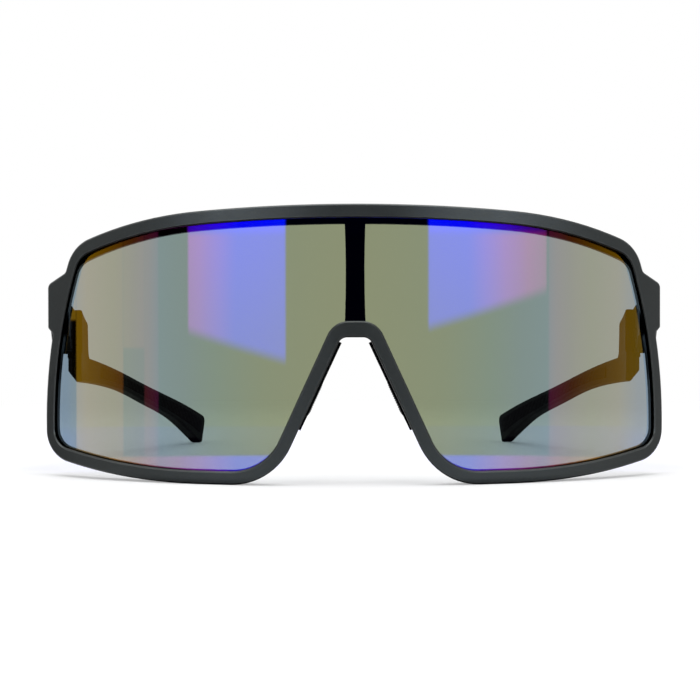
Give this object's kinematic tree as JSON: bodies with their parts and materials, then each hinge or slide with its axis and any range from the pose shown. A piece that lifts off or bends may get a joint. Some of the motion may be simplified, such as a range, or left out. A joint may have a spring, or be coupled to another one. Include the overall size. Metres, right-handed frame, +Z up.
{
  "type": "sunglasses",
  "caption": "Wrap-around shield sunglasses with a one-piece mirrored lens, full rim, nose piece with soft pads and folding temples with soft inner panels.",
  "frame": {"origin": "under the middle of the bounding box, on the surface that the lower rim and the temple tips rest on", "axes": "+X is the wearer's left, +Y runs back along the temples from the front to the ears, +Z is up"},
  "size_m": [0.149, 0.15, 0.063],
  "materials": {
    "frame_plastic": "matt black nylon with a fine sandy texture",
    "temple_plastic": "matt black nylon with a fine sandy texture",
    "lens": "polycarbonate with a blue-violet mirror coat over a grey-brown tint",
    "saddle_plastic": "satin black nylon",
    "pad_rubber": "soft ribbed elastomer",
    "panel_rubber": "soft smooth elastomer",
    "steel": "turned stainless steel"
  },
  "bodies": {
    "front": {"front_frame": "frame_plastic", "shield_lens": "lens", "nose_saddle": "saddle_plastic", "nose_pad_left": "pad_rubber", "nose_pad_right": "pad_rubber", "hinge_screw_left": "steel", "hinge_screw_right": "steel", "hinge_nut_left": "steel", "hinge_nut_right": "steel"},
    "left_arm": {"temple_left": "temple_plastic", "temple_panel_left": "panel_rubber"},
    "right_arm": {"temple_right": "temple_plastic", "temple_panel_right": "panel_rubber"}
  },
  "joints": [
    {"name": "fold_left", "type": "hinge", "parent": "front", "child": "left_arm", "pos_m": [0.0718, -0.0348, 0.034], "axis": [0, 0, 1], "range_deg": [0, 86]},
    {"name": "fold_right", "type": "hinge", "parent": "front", "child": "right_arm", "pos_m": [-0.0718, -0.0348, 0.034], "axis": [0, 0, -1], "range_deg": [0, 79]}
  ]
}
